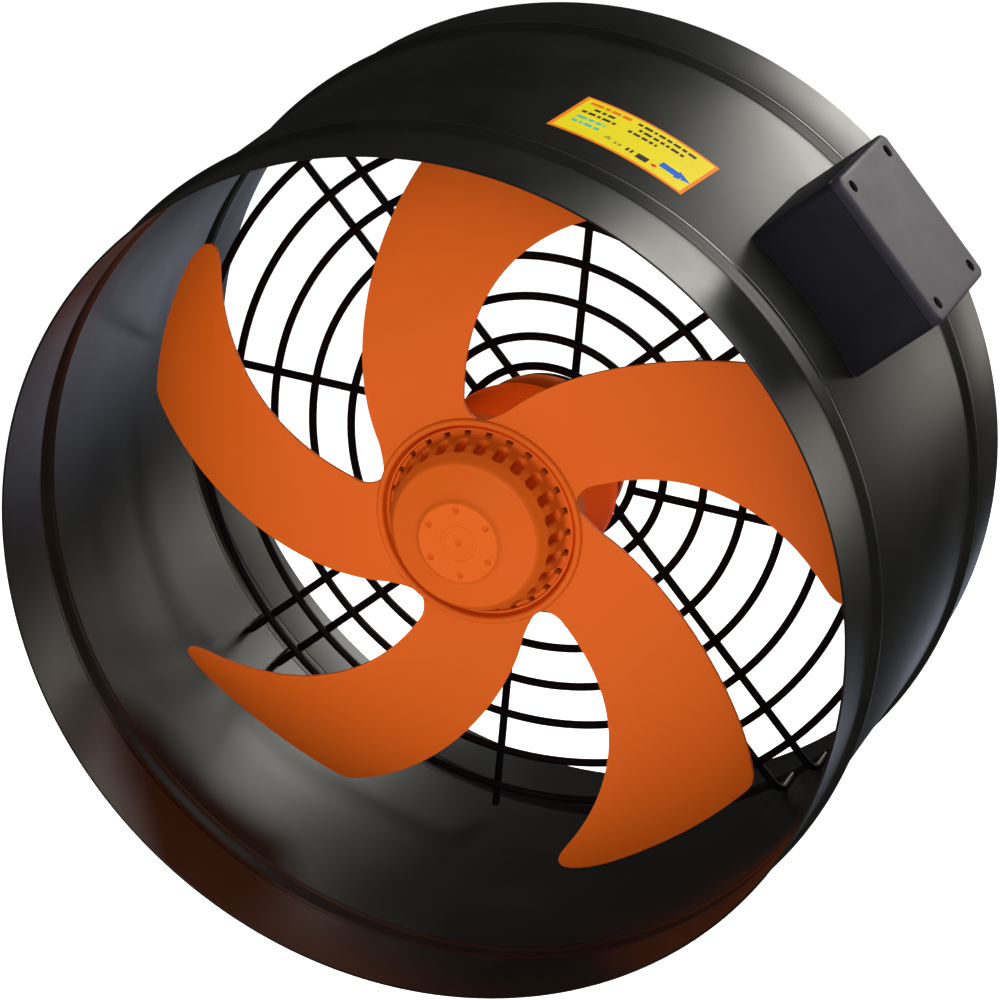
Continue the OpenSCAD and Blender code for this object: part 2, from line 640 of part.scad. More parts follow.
// Sweeps a round section along a route that never runs along +Z
module tube(route, r, sides) {
    last = len(route) - 1;
    rings = [for (k = [0:last])
        let (ahead = unit(route[min(k + 1, last)] - route[max(k - 1, 0)]),
             across = unit(cross(ahead, [0, 0, 1])), up = cross(across, ahead))
        for (j = [0:sides - 1])
            route[k] + r * (cos(360 * j / sides) * across + sin(360 * j / sides) * up)];
    sleeve = [for (k = [0:last - 1]) for (j = [0:sides - 1]) let (n = (j + 1) % sides)
        [k * sides + j, (k + 1) * sides + j, (k + 1) * sides + n, k * sides + n]];
    polyhedron(points = rings, convexity = 6,
               faces = concat(sleeve, [[for (j = [0:sides - 1]) j]],
                              [[for (j = [sides - 1:-1:0]) last * sides + j]]));
}
module motor_lead() color(rubber_black) at_angle(arm_angle) tube(lead_route, lead_r, 12);
module lead_bushing() color(rubber_black) at_angle(arm_angle) translate(lead_exit) difference() {
    union() {
        disc(3.9, flange_back - 7, plate_y + plate_t);
        disc(5.2, plate_y + plate_t, plate_y + plate_t + 1.5);
    }
    disc(lead_r + fit_gap, flange_back - 9, plate_y + plate_t + 3);
}
module lead_grommet() color(rubber_black) at_angle(arm_angle)
    translate([0, grommet_y, lead_wall_z]) difference() {
        union() {
            upright(5.8, 220.5, floor_x + 1.7);
            upright(8, 220.5, 222.6);
            upright(8, floor_x + 0.2, floor_x + 1.7);
        }
        upright(lead_r + fit_gap, 215, floor_x + 5);
    }
// Ties around the arm and the lead, between the guard rings
tie_places = [77, 100, 145];
tie_front = arm_plane - wire_r;
tie_back = lead_run_y + lead_r;
module lead_ties() color(rubber_black) at_angle(arm_angle) for (x = tie_places)
    translate([x, 0, lead_z]) difference() {
        union() {
            translate([-1.8, tie_front - 1.3, -4]) cube([3.6, tie_back - tie_front + 2.6, 8]);
            translate([-2.8, tie_back - 4, 3.6]) cube([5.6, 4.6, 4]);
        }
        translate([-3, tie_front - 0.2, -2.8]) cube([6, tie_back - tie_front + 0.4, 5.6]);
    }

// ---- Label -----------------------------------------------------------------
label_t = 0.3;
label_turn = 4.6;
module rating_label() color(label_yellow) intersection() {
    around_axis() rotate_extrude($fn = 360) translate([duct_r, label_y - label_w])
        square([label_t, 2 * label_w]);
    at_angle(label_angle) translate([duct_r, label_y, 0]) rotate([-label_turn, 0, 0])
        translate([-30, -label_l / 2, -label_w / 2]) cube([40, label_l, label_w]);
}

duct_shell();
guard_rings();
guard_arms_upper_right();
guard_arms_upper_left();
guard_arms_lower_left();
guard_arms_lower_right();
guard_spokes();
motor_mount_plate();
motor_screws();
stator_flange();
bearing_tube();
stator_core();
winding_front();
winding_rear();
slot_insulation();
front_bearing_outer_ring();
front_bearing_inner_ring();
front_bearing_balls();
rear_bearing_outer_ring();
rear_bearing_inner_ring();
rear_bearing_balls();
bearing_preload_washer();
shaft_circlip();
motor_shaft();
rotor_can();
rotor_laminations();
rotor_end_rings();
impeller_ring();
blade_1();
blade_2();
blade_3();
blade_4();
blade_5();
terminal_box();
terminal_box_pad();
lid_gasket();
terminal_box_lid();
lid_screws();
box_screws();
box_nuts();
terminal_strip();
terminal_screws();
run_capacitor();
capacitor_clip();
cable_gland();
gland_nut();
gland_seal();
motor_lead();
lead_bushing();
lead_grommet();
lead_ties();
earth_screw();
rating_label();
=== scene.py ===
import math

import bmesh
import bpy
from mathutils import Matrix, Vector


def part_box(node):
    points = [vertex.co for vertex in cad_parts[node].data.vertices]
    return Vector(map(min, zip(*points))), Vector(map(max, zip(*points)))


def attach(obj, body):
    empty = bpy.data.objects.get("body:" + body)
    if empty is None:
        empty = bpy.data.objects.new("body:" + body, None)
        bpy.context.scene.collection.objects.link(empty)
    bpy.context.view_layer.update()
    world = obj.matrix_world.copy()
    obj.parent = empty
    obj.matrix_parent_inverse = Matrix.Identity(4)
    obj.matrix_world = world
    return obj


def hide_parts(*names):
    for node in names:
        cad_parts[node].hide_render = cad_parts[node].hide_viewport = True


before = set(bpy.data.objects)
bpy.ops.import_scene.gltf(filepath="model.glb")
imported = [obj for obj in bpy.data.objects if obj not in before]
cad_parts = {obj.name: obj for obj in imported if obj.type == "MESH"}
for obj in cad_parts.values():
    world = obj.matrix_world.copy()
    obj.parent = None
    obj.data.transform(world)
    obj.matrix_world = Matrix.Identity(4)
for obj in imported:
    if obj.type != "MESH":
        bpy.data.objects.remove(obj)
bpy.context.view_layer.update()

# ---- Camera, studio light and floor ----------------------------------------------------------
# The fan is looked at from the front right and above with a long lens. Soft panels behind it
# draw the sheens on the duct, one above shines on the beads, and wide fills light the rest.
EYE = Vector((0.79196, -1.95438, 0.92507))
AZIMUTH = math.radians(20.855)
ELEVATION = math.radians(22.575)
FLOOR_Z = -1.1
FLOOR_HALF = 30
FAN_MIDDLE = Vector((0, 0.13, 0))

camera_data = bpy.data.cameras.new("camera")
camera_data.lens = 167.45
camera_data.sensor_width = 36
camera_data.clip_start = 0.05
camera = bpy.data.objects.new("camera", camera_data)
camera.location = EYE
camera.rotation_euler = (math.pi / 2 - ELEVATION, 0, AZIMUTH)
bpy.context.scene.collection.objects.link(camera)
bpy.context.scene.camera = camera
bpy.context.scene.view_settings.view_transform = "Standard"


def linear(code):
    """An sRGB hex colour as linear RGBA."""
    parts = [int(code[i:i + 2], 16) / 255 for i in (1, 3, 5)]
    return [c / 12.92 if c <= 0.04045 else ((c + 0.055) / 1.055) ** 2.4 for c in parts] + [1]


def panel(name, toward, distance, width, height, power, colour="#ffffff", shine=True,
          matt=True):
    """A soft light panel facing the fan: shine and matt say which light it gives surfaces."""
    data = bpy.data.lights.new(name, "AREA")
    data.shape = "RECTANGLE"
    data.size = width
    data.size_y = height
    data.energy = power
    data.color = linear(colour)[:3]
    lamp = bpy.data.objects.new(name, data)
    way = Vector(toward).normalized()
    lamp.location = FAN_MIDDLE + way * distance
    lamp.rotation_euler = (-way).to_track_quat("-Z", "Y").to_euler()
    lamp.visible_glossy = shine
    lamp.visible_diffuse = matt
    bpy.context.scene.collection.objects.link(lamp)


panel("rear_panel", (0.31, 0.86, 0.40), 2.2, 0.85, 0.75, 18, "#fffdf6")
panel("side_panel", (0.50, 0.86, -0.04), 3.2, 0.80, 0.66, 6.5, "#fff8ee")
panel("low_panel", (0.04, 0.86, -0.49), 1.9, 0.9, 0.3, 0.9, "#dfe8ff")
panel("bead_panel", (0.68, 0.10, 0.72), 3.0, 1.8, 1.8, 58, "#fffdf6", matt=False)
panel("front_panel", (0.35, -0.85, 0.55), 3.0, 1.6, 1.6, 16)
panel("front_fill", (0.08, -0.98, 0.15), 3.0, 2.6, 2.6, 50, shine=False)
panel("rear_fill", (0.40, 0.82, 0.40), 3.0, 2.0, 2.0, 66, shine=False)
panel("top_fill", (0.0, -0.30, 0.95), 3.0, 2.0, 2.0, 46, shine=False)

world = bpy.data.worlds.new("studio")
world.use_nodes = True
world.node_tree.nodes["Background"].inputs["Color"].default_value = linear("#a5a4a2")
world.node_tree.nodes["Background"].inputs["Strength"].default_value = 0.06
bpy.context.scene.world = world


def add(material, kind, values=None, **settings):
    """Adds a node to a material, sets its properties, and sets or links its inputs."""
    made = material.node_tree.nodes.new(kind)
    for key, value in settings.items():
        setattr(made, key, value)
    for key, value in (values or {}).items():
        if isinstance(value, bpy.types.NodeSocket):
            material.node_tree.links.new(value, made.inputs[key])
        else:
            made.inputs[key].default_value = value
    return made


def new_material(name):
    """An empty node material with its principled shader."""
    material = bpy.data.materials.new(name)
    material.use_nodes = True
    return material, material.node_tree.nodes["Principled BSDF"]


def join(material, source, shader, socket):
    """Links an output to a shader's input."""
    material.node_tree.links.new(source, shader.inputs[socket])


floor_paint, shader = new_material("floor_paint")
shader.inputs["Base Color"].default_value = linear("#f4f4f4")
shader.inputs["Roughness"].default_value = 0.9
shader.inputs["Emission Color"].default_value = linear("#ffffff")
shader.inputs["Emission Strength"].default_value = 1.0
bm = bmesh.new()
bmesh.ops.create_grid(bm, x_segments=1, y_segments=1, size=FLOOR_HALF)
bmesh.ops.translate(bm, verts=bm.verts, vec=(0, 0, FLOOR_Z))
mesh = bpy.data.meshes.new("floor")
bm.to_mesh(mesh)
bm.free()
mesh.materials.append(floor_paint)
floor = bpy.data.objects.new("floor", mesh)
floor.visible_glossy = False
bpy.context.scene.collection.objects.link(floor)

# ---- Duct shell ------------------------------------------------------------------------------
# A tube rolled from 1.2 mm steel sheet, with a rounded bead and a fine roll line near each end.
# It is powder coated in a satin black with a slight green cast.
MM = 0.001
SMOOTH_ANGLE = math.radians(35)
lowest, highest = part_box("duct_shell")
DUCT_LENGTH = (highest.y - lowest.y) / MM
DUCT_R = 225
SHEET = 1.2
BEAD_INSET = 49.5
BEAD_WIDTH = 15
BEAD_HEIGHT = (highest.x - lowest.x) / MM / 2 - DUCT_R
BEAD_STEPS = 24
LINE_GAP = 1
LINE_HALF = 0.8
LINE_DEPTH = 0.5
LIP_ROUND = 0.4
LIP = 0.3


def piece(name, bm, material, body, slot, *nodes, smooth=SMOOTH_ANGLE):
    """Turns a bmesh in millimetres into a finished piece that rides on a body."""
    bmesh.ops.scale(bm, vec=(MM, MM, MM), verts=bm.verts)
    bmesh.ops.recalc_face_normals(bm, faces=bm.faces)
    mesh = bpy.data.meshes.new(name)
    bm.to_mesh(mesh)
    bm.free()
    for face in mesh.polygons:
        face.use_smooth = True
    mesh.set_sharp_from_angle(angle=smooth)
    mesh.materials.append(material)
    made = bpy.data.objects.new(name, mesh)
    bpy.context.scene.collection.objects.link(made)
    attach(made, body)
    if nodes:
        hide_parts(*nodes)
    return made


def spun(bm, profile, steps, closed=True):
    """Spins a profile of (radius, plane) points round the fan axis."""
    verts = [bm.verts.new((r, y, 0)) for r, y in profile]
    edges = [bm.edges.new(pair) for pair in zip(verts, verts[1:])]
    if closed:
        edges.append(bm.edges.new((verts[-1], verts[0])))
    bmesh.ops.spin(bm, geom=verts + edges, cent=(0, 0, 0), axis=(0, 1, 0), dvec=(0, 0, 0),
                   angle=2 * math.pi, steps=steps, use_merge=True, use_duplicate=False)
    bmesh.ops.remove_doubles(bm, verts=bm.verts, dist=0.001)


def wall_radius(y):
    """Outer radius of the sheet at plane y, with its beads and roll lines."""
    radius = DUCT_R
    for centre in (BEAD_INSET, DUCT_LENGTH - BEAD_INSET):
        off = y - centre
        if abs(off) < BEAD_WIDTH / 2:
            radius += BEAD_HEIGHT * (1 + math.cos(2 * math.pi * off / BEAD_WIDTH)) / 2
        line = off - BEAD_WIDTH / 2 - LINE_GAP
        if abs(line) < LINE_HALF:
            radius -= LINE_DEPTH * (1 + math.cos(math.pi * line / LINE_HALF)) / 2
    return radius


def powder_coat(name, colour, roughness, peel_mm, bump, dust="#8a8880", dust_share=0.06,
                specular=0.5):
    """Powder coated metal: an even satin film with orange peel and a trace of settled dust."""
    material, shader = new_material(name)
    place = add(material, "ShaderNodeTexCoord").outputs["Object"]
    peel = add(material, "ShaderNodeTexNoise",
               {"Vector": place, "Scale": 1 / (peel_mm * MM), "Detail": 3.0, "Roughness": 0.5})
    cloud = add(material, "ShaderNodeTexNoise",
                {"Vector": place, "Scale": 1 / (60 * MM), "Detail": 4.0, "Roughness": 0.6})
    veil = add(material, "ShaderNodeMapRange",
               {"Value": cloud.outputs["Fac"], "From Min": 0.35, "From Max": 0.8,
                "To Min": 0.0, "To Max": dust_share})
    tint = add(material, "ShaderNodeMix",
               {"Factor": veil.outputs["Result"], "A": linear(colour), "B": linear(dust)},
               data_type="RGBA")
    join(material, tint.outputs["Result"], shader, "Base Color")
    worn = add(material, "ShaderNodeMapRange",
               {"Value": cloud.outputs["Fac"], "From Min": 0.2, "From Max": 0.8,
                "To Min": roughness - 0.05, "To Max": roughness + 0.07})
    join(material, worn.outputs["Result"], shader, "Roughness")
    relief = add(material, "ShaderNodeBump",
                 {"Height": peel.outputs["Fac"], "Strength": bump, "Distance": 0.1 * MM})
    join(material, relief.outputs["Normal"], shader, "Normal")
    shader.inputs["Specular IOR Level"].default_value = specular
    return material


duct_coat = powder_coat("duct_powder_coat", "#0c0c0a", 0.36, 2.5, 0.25, dust="#6e6c62",
                        dust_share=0.03)
stations = [0.0, LIP_ROUND]
for centre in (BEAD_INSET, DUCT_LENGTH - BEAD_INSET):
    stations += [centre + BEAD_WIDTH * (i / BEAD_STEPS - 0.5) for i in range(BEAD_STEPS + 1)]
    stations += [centre + BEAD_WIDTH / 2 + LINE_GAP + LINE_HALF * i / 4 for i in range(-4, 5)]
stations += [DUCT_LENGTH - LIP_ROUND, DUCT_LENGTH]
edges = [LIP if y in (0.0, DUCT_LENGTH) else 0 for y in stations]
outside = [(wall_radius(y) - edge, y) for y, edge in zip(stations, edges)]
inside = [(wall_radius(y) - SHEET + edge, y) for y, edge in zip(stations, edges)]
bm = bmesh.new()
spun(bm, outside + inside[::-1], 256)
piece("duct_shell_rolled", bm, duct_coat, "housing", "duct_paint", "duct_shell")

# ---- Wire guard ------------------------------------------------------------------------------
# Eight rings of 4.4 mm steel wire are spot welded onto four pairs of arms and four spokes.
# The arms bend back into feet that are welded to the duct wall. All of it is black coated.
WIRE_R = 2.2
WIRE_SIDES = 16
GUARD_Y = 194
RING_PLANE = GUARD_Y - WIRE_R
ARM_PLANE = GUARD_Y + WIRE_R
RING_INNER_R = 50
RING_OUTER_R = 201
RING_PITCH = 22.4
RING_RADII = [RING_INNER_R] + [RING_OUTER_R - RING_PITCH * i for i in range(6, -1, -1)]
ARM_ANGLE = 40
ARM_OFFSET = 12
ARM_START = 16
ARM_BEND = 7
ARM_FOOT = 14
FOOT_R = math.sqrt((DUCT_R - SHEET - WIRE_R - 0.03) ** 2 - ARM_OFFSET ** 2)
SPOKE_ANGLE = 85
SPOKE_OFFSET = 11
SPOKE_START = RING_INNER_R - 4
SPOKE_REACH = 215

wire_coat = powder_coat("wire_powder_coat", "#08070a", 0.34, 1.2, 0.2, dust_share=0.01,
                        specular=0.12)


def turned_to(bm, angle, verts=None):
    """Turns vertices drawn towards +X to an angle round the fan axis."""
    bmesh.ops.rotate(bm, verts=verts or bm.verts, cent=(0, 0, 0),
                     matrix=Matrix.Rotation(-math.radians(angle), 3, "Y"))


def wire_section(bm, centre):
    """Starts a wire along X with a capped round section and returns the section's edges."""
    made = bmesh.ops.create_circle(bm, cap_ends=True, radius=WIRE_R, segments=WIRE_SIDES)
    turn = Vector((0, 0, 1)).rotation_difference(Vector((1, 0, 0))).to_matrix()
    bmesh.ops.rotate(bm, verts=made["verts"], cent=(0, 0, 0), matrix=turn)
    bmesh.ops.translate(bm, verts=made["verts"], vec=centre)
    return list({e for v in made["verts"] for e in v.link_edges})


def run_straight(bm, edges, vec):
    """Extends an open section along a straight line and returns the new end's edges."""
    made = bmesh.ops.extrude_edge_only(bm, edges=edges)["geom"]
    verts = [g for g in made if isinstance(g, bmesh.types.BMVert)]
    bmesh.ops.translate(bm, verts=verts, vec=vec)
    return [g for g in made if isinstance(g, bmesh.types.BMEdge)]


def run_bend(bm, edges, centre):
    """Extends an open section backwards round a right angle, and returns its new end's edges."""
    made = bmesh.ops.spin(bm, geom=edges, cent=centre, axis=(0, 0, 1), dvec=(0, 0, 0),
                          angle=math.pi / 2, steps=10, use_duplicate=False)
    return [g for g in made["geom_last"] if isinstance(g, bmesh.types.BMEdge)]


def close_end(bm, edges):
    """Caps the open end of a wire."""
    bmesh.ops.contextual_create(bm, geom=edges)


bm = bmesh.new()
for radius in RING_RADII:
    made = bmesh.ops.create_circle(bm, cap_ends=False, radius=WIRE_R, segments=WIRE_SIDES)
    bmesh.ops.translate(bm, verts=made["verts"], vec=(radius, RING_PLANE, 0))
    ring = list({e for v in made["verts"] for e in v.link_edges})
    bmesh.ops.spin(bm, geom=made["verts"] + ring, cent=(0, 0, 0), axis=(0, 1, 0),
                   dvec=(0, 0, 0), angle=2 * math.pi, steps=160, use_merge=True,
                   use_duplicate=False)
bmesh.ops.remove_doubles(bm, verts=bm.verts, dist=0.001)
piece("guard_rings_wire", bm, wire_coat, "housing", "guard_wire", "guard_rings")

ARM_NAMES = ["upper_right", "upper_left", "lower_left", "lower_right"]
for i, name in enumerate(ARM_NAMES):
    bm = bmesh.new()
    for z in (-ARM_OFFSET, ARM_OFFSET):
        end = wire_section(bm, (ARM_START, ARM_PLANE, z))
        end = run_straight(bm, end, (FOOT_R - ARM_BEND - ARM_START, 0, 0))
        end = run_bend(bm, end, (FOOT_R - ARM_BEND, ARM_PLANE + ARM_BEND, z))
        end = run_straight(bm, end, (0, ARM_FOOT, 0))
        close_end(bm, end)
    turned_to(bm, ARM_ANGLE + 90 * i)
    piece("guard_arm_wires_" + name, bm, wire_coat, "housing", "guard_wire", "guard_arms_" + name)

bm = bmesh.new()
for i in range(4):
    before = set(bm.verts)
    end = wire_section(bm, (SPOKE_START, ARM_PLANE, -SPOKE_OFFSET))
    close_end(bm, run_straight(bm, end, (SPOKE_REACH - SPOKE_START, 0, 0)))
    turned_to(bm, SPOKE_ANGLE + 90 * i, [v for v in bm.verts if v not in before])
piece("guard_spoke_wires", bm, wire_coat, "housing", "guard_wire", "guard_spokes")

# ---- Motor mounting plate and its screws -----------------------------------------------------
# A laser cut steel disc welded behind the arms, coated with the guard. Four zinc plated hexagon
# screws with captive washers hold the stator flange against it.
def carry(material, *nodes):
    """Gives CAD nodes that are shown as they are a finished material."""
    for name in nodes:
        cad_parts[name].data.materials[0] = material


def bare_metal(name, colour, roughness, grain_mm, stretch=(1, 1, 1), scratch=0.15):
    """Uncoated metal: fine grain along the working direction, cloudy gloss and light scratches."""
    material, shader = new_material(name)
    place = add(material, "ShaderNodeTexCoord").outputs["Object"]
    drawn = add(material, "ShaderNodeMapping", {"Vector": place, "Scale": stretch})
    grain = add(material, "ShaderNodeTexNoise",
                {"Vector": drawn.outputs["Vector"], "Scale": 1 / (grain_mm * MM), "Detail": 4.0})
    cloud = add(material, "ShaderNodeTexNoise",
                {"Vector": place, "Scale": 1 / (9 * MM), "Detail": 3.0})
    tint = add(material, "ShaderNodeMix",
               {"Factor": cloud.outputs["Fac"], "A": linear(colour),
                "B": [c * 0.72 for c in linear(colour)[:3]] + [1]}, data_type="RGBA")
    join(material, tint.outputs["Result"], shader, "Base Color")
    worn = add(material, "ShaderNodeMapRange",
               {"Value": grain.outputs["Fac"], "From Min": 0.3, "From Max": 0.7,
                "To Min": roughness - 0.06, "To Max": roughness + 0.12})
    join(material, worn.outputs["Result"], shader, "Roughness")
    relief = add(material, "ShaderNodeBump",
                 {"Height": grain.outputs["Fac"], "Strength": scratch, "Distance": 0.05 * MM})
    join(material, relief.outputs["Normal"], shader, "Normal")
    shader.inputs["Metallic"].default_value = 1.0
    return material


zinc_plate = bare_metal("bright_zinc_plating", "#b9bcc4", 0.34, 1.5)
carry(wire_coat, "motor_mount_plate")
carry(zinc_plate, "motor_screws")

# ---- Stator ----------------------------------------------------------------------------------
# The flange is a powder coated aluminium casting. On it stand the bearing tube, the laminated
# core with its enamelled copper end turns, and the polyester film that insulates them.
fan_coat = powder_coat("fan_powder_coat", "#c85512", 0.55, 2.2, 0.2, dust="#d9763c",
                       dust_share=0.03, specular=0.12)
cast_metal = bare_metal("sand_cast_aluminium", "#a3a6aa", 0.48, 0.9, scratch=0.5)


def layered(name, colour, gap_colour, pitch_mm, metallic, roughness):
    """Stacked sheets or strands: fine dark gaps repeated along the fan axis."""
    material, shader = new_material(name)
    place = add(material, "ShaderNodeTexCoord").outputs["Object"]
    bands = add(material, "ShaderNodeTexWave",
                {"Vector": place, "Scale": 1 / (pitch_mm * MM) / 3.2, "Distortion": 0.15},
                wave_type="BANDS", bands_direction="Y", wave_profile="SIN")
    speck = add(material, "ShaderNodeTexNoise", {"Vector": place, "Scale": 1 / (2.5 * MM)})
    edge = add(material, "ShaderNodeMapRange",
               {"Value": bands.outputs["Fac"], "From Min": 0.0, "From Max": 0.35})
    tone = add(material, "ShaderNodeMix",
               {"Factor": edge.outputs["Result"], "A": linear(gap_colour),
                "B": linear(colour)}, data_type="RGBA")
    join(material, tone.outputs["Result"], shader, "Base Color")
    worn = add(material, "ShaderNodeMapRange",
               {"Value": speck.outputs["Fac"], "To Min": roughness - 0.08,
                "To Max": roughness + 0.12})
    join(material, worn.outputs["Result"], shader, "Roughness")
    relief = add(material, "ShaderNodeBump",
                 {"Height": bands.outputs["Fac"], "Strength": 0.6, "Distance": 0.15 * MM})
    join(material, relief.outputs["Normal"], shader, "Normal")
    shader.inputs["Metallic"].default_value = metallic
    return material


def moulded_plastic(name, colour, roughness, grain_mm, bump, mottle=0.06, specular=0.5):
    """Moulded plastic: a fine spark-eroded texture, faint flow marks and finger gloss."""
    material, shader = new_material(name)
    place = add(material, "ShaderNodeTexCoord").outputs["Object"]
    grain = add(material, "ShaderNodeTexVoronoi",
                {"Vector": place, "Scale": 1 / (grain_mm * MM)}, feature="SMOOTH_F1")
    flow = add(material, "ShaderNodeTexNoise",
               {"Vector": place, "Scale": 1 / (25 * MM), "Detail": 3.0, "Distortion": 0.6})
    tone = add(material, "ShaderNodeMix",
               {"Factor": flow.outputs["Fac"],
                "A": [c * (1 - mottle) for c in linear(colour)[:3]] + [1],
                "B": [min(c * (1 + mottle) + 0.002, 1) for c in linear(colour)[:3]] + [1]},
               data_type="RGBA")
    join(material, tone.outputs["Result"], shader, "Base Color")
    worn = add(material, "ShaderNodeMapRange",
               {"Value": flow.outputs["Fac"], "From Min": 0.3, "From Max": 0.7,
                "To Min": roughness - 0.04, "To Max": roughness + 0.05})
    join(material, worn.outputs["Result"], shader, "Roughness")
    relief = add(material, "ShaderNodeBump",
                 {"Height": grain.outputs["Distance"], "Strength": bump, "Distance": 0.08 * MM})
    join(material, relief.outputs["Normal"], shader, "Normal")
    shader.inputs["Specular IOR Level"].default_value = specular
    return material


# The sheets are 0.5 mm thick, drawn twice as coarse so that they show.
lamination = layered("silicon_steel_laminations", "#7e8187", "#2c2d30", 1.0, 1.0, 0.42)
copper_winding = layered("enamelled_copper_wire", "#b5622c", "#4a1f0c", 0.9, 0.7, 0.3)
polyester = moulded_plastic("polyester_insulation_film", "#dcd8c8", 0.35, 0.8, 0.1)
carry(fan_coat, "stator_flange")
carry(cast_metal, "bearing_tube")
carry(lamination, "stator_core")
carry(copper_winding, "winding_front", "winding_rear")
carry(polyester, "slot_insulation")

# ---- Bearings and shaft ----------------------------------------------------------------------
# Two deep groove ball bearings of ground chromium steel carry the ground steel shaft. A wave
# washer preloads them, and a spring steel circlip holds the shaft.
ground_steel = bare_metal("ground_bearing_steel", "#c4c7cc", 0.18, 0.6, (1, 6, 1), 0.08)
spring_steel = bare_metal("phosphated_spring_steel", "#4c4d52", 0.42, 0.8, scratch=0.25)
for end in ("front", "rear"):
    carry(ground_steel, end + "_bearing_outer_ring", end + "_bearing_inner_ring",
          end + "_bearing_balls")
carry(ground_steel, "motor_shaft")
carry(spring_steel, "bearing_preload_washer", "shaft_circlip")

# ---- Rotor can -------------------------------------------------------------------------------
# The aluminium rotor housing, cast with a nose disc, a ring of 26 oval cooling scallops with a
# vent hole behind each, and a rim. It turns round the stator and is coated with the blades.
NOSE_Y = 64
NOSE_R = 22
VENTS = 26
VENT_PHASE = 1
STEPS_PER_VENT = 24
CHANNEL_Y = 96
RIM_Y = 94.5
CAN_R = 51
CAN_BACK = 163
SCALLOP_MIDDLE = Vector((44.9, 86.0))
SCALLOP_ALONG = Vector((math.sin(math.radians(20)), math.cos(math.radians(20))))
SCALLOP_HALF = 3.1
SCALLOP_R = 3.05
SCALLOP_DEPTH = 3.4
# Extra material slots: painted shade in the scallops, painted shade in the vent holes, painted
# light on the can's side.
SCALLOP_SHADE_SLOT, VENT_SHADE_SLOT, SIDE_LIGHT_SLOT = 1, 2, 3
VENT_R = 1.6
VENT_RING_R = 47.9
VENT_DEPTH = 7
DIMPLE_R = 2.1
DIMPLE_DEPTH = 1.5
BOSS_DEPTH = 1.2
TURNED_RINGS = (7.6, 9.6)
DIMPLE_RING_R = 18
DIMPLE_PHASE = 33.5


def steps_between(a, b, step):
    """Points from a to b, about one step apart, leaving b out."""
    a, b = Vector(a), Vector(b)
    count = max(1, round((b - a).length / step))
    return [tuple(a.lerp(b, i / count)) for i in range(count)]


def soft_step(value, low, high):
    """Goes smoothly from 0 at low to 1 at high."""
    t = min(max((value - low) / (high - low), 0), 1)
    return t * t * (3 - 2 * t)


def polyline(*corners):
    """Joins (radius, plane, step) corners into one profile, with steps of the size asked for."""
    points = []
    for (r0, y0, step), (r1, y1, _) in zip(corners, corners[1:]):
        points += steps_between((r0, y0), (r1, y1), step)
    return points + [corners[-1][:2]]


def sink_rotor_details(bm):
    """Presses the dimples, turned rings, scallops and vent holes, and gives the scallop and vent
    faces painted shade and the side faces painted light.
    """
    scallops, vents = set(), set()
    for v in bm.verts:
        r = math.hypot(v.co.x, v.co.z)
        if r < 0.01:
            v.co.y += BOSS_DEPTH
            continue
        angle = math.degrees(math.atan2(v.co.z, v.co.x))
        if v.co.y < NOSE_Y + 0.1 and r < NOSE_R - 1:
            off = (angle - DIMPLE_PHASE + 30) % 60 - 30
            reach = math.hypot(r - DIMPLE_RING_R, math.radians(off) * r)
            sink = DIMPLE_DEPTH * (1 - soft_step(reach, 0.5, DIMPLE_R))
            sink += BOSS_DEPTH * (1 - soft_step(r, 0.6, 2.2))
            for ring in TURNED_RINGS:
                sink += 0.3 * (1 - soft_step(abs(r - ring), 0.1, 0.6))
            v.co.y += sink
            continue
        off = math.radians((angle - VENT_PHASE + 180 / VENTS) % (360 / VENTS) - 180 / VENTS) * r
        place = Vector((r, v.co.y)) - SCALLOP_MIDDLE
        along = place.dot(SCALLOP_ALONG)
        across = place - along * SCALLOP_ALONG
        if across.length < 1.6 and v.co.y < CHANNEL_Y + 0.1:
            past = max(abs(along) - SCALLOP_HALF, 0)
            reach = math.hypot(past, off)
            sink = SCALLOP_DEPTH * (1 - soft_step(reach, SCALLOP_R - 1.0, SCALLOP_R + 0.25))
            v.co.x *= 1 - sink / r
            v.co.z *= 1 - sink / r
            if sink > SCALLOP_DEPTH * 0.2:
                scallops.add(v)
        if 92.5 < v.co.y < CHANNEL_Y + 0.05 and 46.2 < r < 49.6:
            reach = math.hypot(r - VENT_RING_R, off)
            v.co.y += VENT_DEPTH * (1 - soft_step(reach, VENT_R - 0.35, VENT_R + 0.15))
            if reach < VENT_R + 0.1:
                vents.add(v)
    # Scallop and vent faces take the painted shade coats, and side faces take the painted light
    # coat.
    for face in bm.faces:
        if scallops.issuperset(face.verts):
            face.material_index = SCALLOP_SHADE_SLOT
        elif vents.issuperset(face.verts):
            face.material_index = VENT_SHADE_SLOT
        elif min(math.hypot(v.co.x, v.co.z) for v in face.verts) > CAN_R - 0.05:
            face.material_index = SIDE_LIGHT_SLOT


